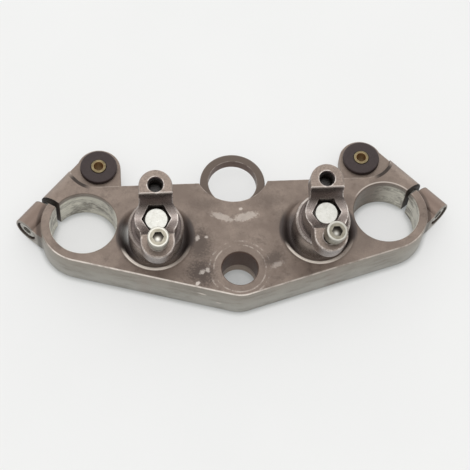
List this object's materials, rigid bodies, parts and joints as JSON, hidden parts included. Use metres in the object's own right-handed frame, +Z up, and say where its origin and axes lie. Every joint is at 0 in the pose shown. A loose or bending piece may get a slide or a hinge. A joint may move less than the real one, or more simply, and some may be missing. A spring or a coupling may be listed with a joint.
{
  "type": "motorcycle triple clamp",
  "caption": "Cast top yoke that joins the fork tubes to the steering stem, with slotted pinch clamps, leaning handlebar risers on dished seats, a lock ring and rubber gauge mounts.",
  "frame": {"origin": "on the stem bore's axis, at the yoke's flat underside", "axes": "+Z up along the stem bore, +X to the rider's right, +Y to the front of the motorcycle; the risers lean back to the rider, towards -Y"},
  "size_m": [0.2854, 0.1164, 0.0919],
  "materials": {
    "yoke_paint": "satin bronze-grey metallic paint on cast aluminium, bare in the fork bores",
    "riser_finish": "glossier bronze-grey finish, worn bright on the saddle cheeks",
    "bolt_zinc": "bright zinc plate",
    "screw_zinc": "dulled zinc plate, slightly yellow",
    "pinch_zinc": "grey zinc plate",
    "grommet_rubber": "matt aged rubber",
    "sleeve_brass": "tarnished"
  },
  "bodies": {
    "root": {"clamp_body": "yoke_paint", "left_riser": "riser_finish", "right_riser": "riser_finish", "left_riser_bolt": "bolt_zinc", "right_riser_bolt": "bolt_zinc", "left_riser_washer": "bolt_zinc", "right_riser_washer": "bolt_zinc", "left_riser_nut": "bolt_zinc", "right_riser_nut": "bolt_zinc", "left_clamp_screw": "screw_zinc", "right_clamp_screw": "screw_zinc", "left_pinch_bolt": "pinch_zinc", "right_pinch_bolt": "pinch_zinc", "left_grommet": "grommet_rubber", "right_grommet": "grommet_rubber", "left_sleeve": "sleeve_brass", "right_sleeve": "sleeve_brass"}
  },
  "joints": []
}
